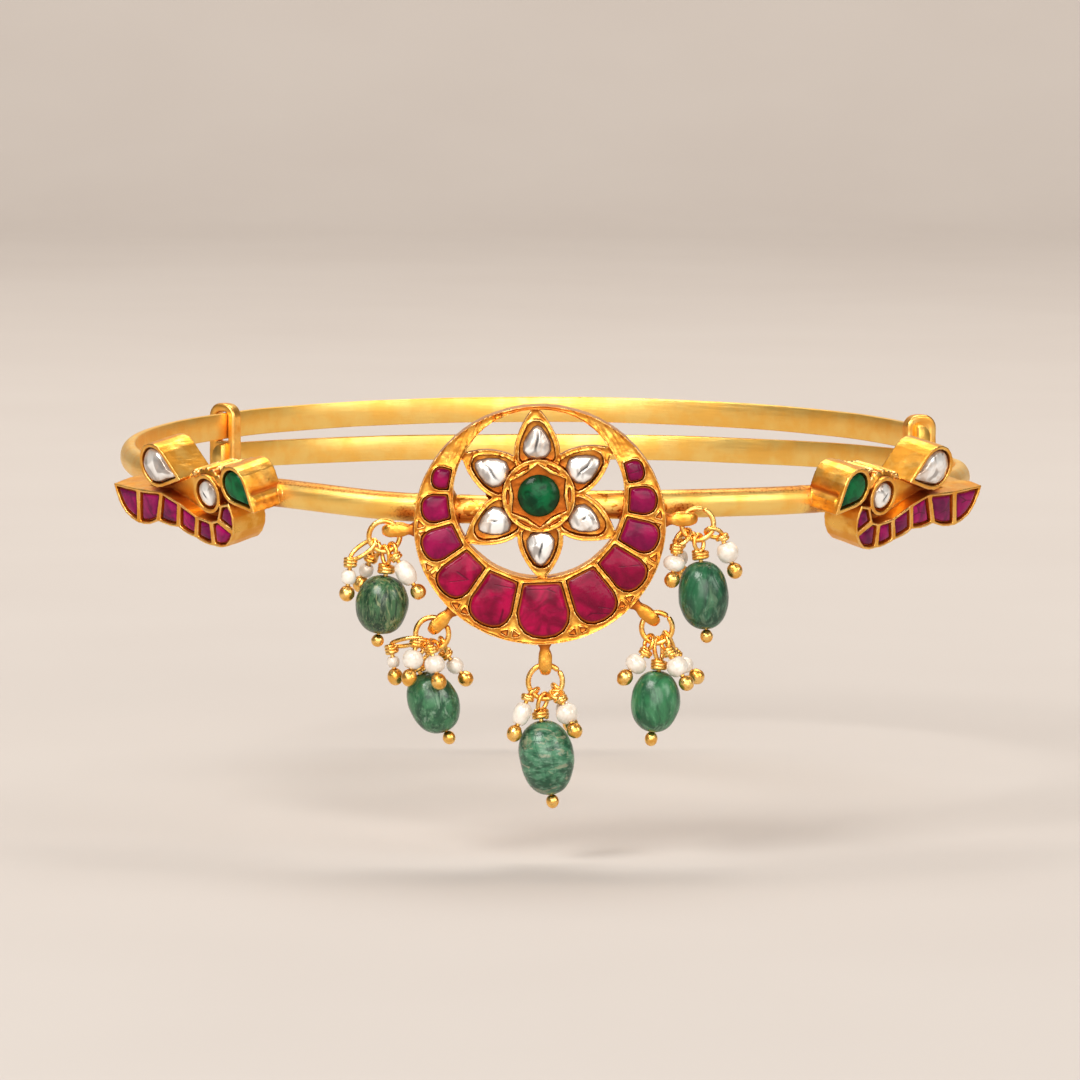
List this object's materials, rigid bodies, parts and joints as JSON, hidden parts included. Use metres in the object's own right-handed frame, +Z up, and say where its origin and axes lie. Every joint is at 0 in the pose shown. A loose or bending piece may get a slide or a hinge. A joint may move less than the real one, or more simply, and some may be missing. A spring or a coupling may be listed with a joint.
{
  "type": "vanki armlet",
  "caption": "Round gold armlet of a domed rod with sliding collars, a crescent and flower set with stones, bird motifs at the sides and drops of green beads and pearls.",
  "frame": {"origin": "middle of the hoop, on the axis of the arm that wears it", "axes": "+Z up along the arm's axis; the crescent faces -Y; +X is to the right as the crescent is looked at"},
  "size_m": [0.0808, 0.0838, 0.0361],
  "materials": {
    "gold": "burnished 22 carat gold plating with brushed sides",
    "gold_wire": "bright drawn gold wire and cast balls",
    "ruby": "polished foil-backed ruby, crimson to magenta",
    "polki": "uncut diamond, foil-backed, silvery",
    "emerald": "polished foil-backed emerald, deep green",
    "green_bead": "polished mottled green stone bead",
    "pearl": "creamy seed pearl with a soft lustre"
  },
  "bodies": {
    "root": {"bottom_bead": "green_bead", "bottom_bead_pin": "gold_wire", "bottom_jump_ring": "gold_wire", "bottom_pearl_pins": "gold_wire", "bottom_pearls": "pearl", "flower_emerald": "emerald", "gold_frame": "gold", "left_bead": "green_bead", "left_bead_pin": "gold_wire", "left_bird_body_polki": "polki", "left_bird_emerald": "emerald", "left_bird_rubies": "ruby", "left_bird_wing_polki": "polki", "left_jump_ring": "gold_wire", "left_pearl_pins": "gold_wire", "left_pearls": "pearl", "lower_left_bead": "green_bead", "lower_left_bead_pin": "gold_wire", "lower_left_jump_ring": "gold_wire", "lower_left_pearl_pins": "gold_wire", "lower_left_pearls": "pearl", "lower_right_bead": "green_bead", "lower_right_bead_pin": "gold_wire", "lower_right_jump_ring": "gold_wire", "lower_right_pearl_pins": "gold_wire", "lower_right_pearls": "pearl", "petal_polki_1": "polki", "petal_polki_2": "polki", "petal_polki_3": "polki", "petal_polki_4": "polki", "petal_polki_5": "polki", "petal_polki_6": "polki", "right_bead": "green_bead", "right_bead_pin": "gold_wire", "right_bird_body_polki": "polki", "right_bird_emerald": "emerald", "right_bird_rubies": "ruby", "right_bird_wing_polki": "polki", "right_jump_ring": "gold_wire", "right_pearl_pins": "gold_wire", "right_pearls": "pearl", "ruby_bottom": "ruby", "ruby_left_1": "ruby", "ruby_left_2": "ruby", "ruby_left_3": "ruby", "ruby_left_4": "ruby", "ruby_left_5": "ruby", "ruby_right_1": "ruby", "ruby_right_2": "ruby", "ruby_right_3": "ruby", "ruby_right_4": "ruby", "ruby_right_5": "ruby"}
  },
  "joints": []
}
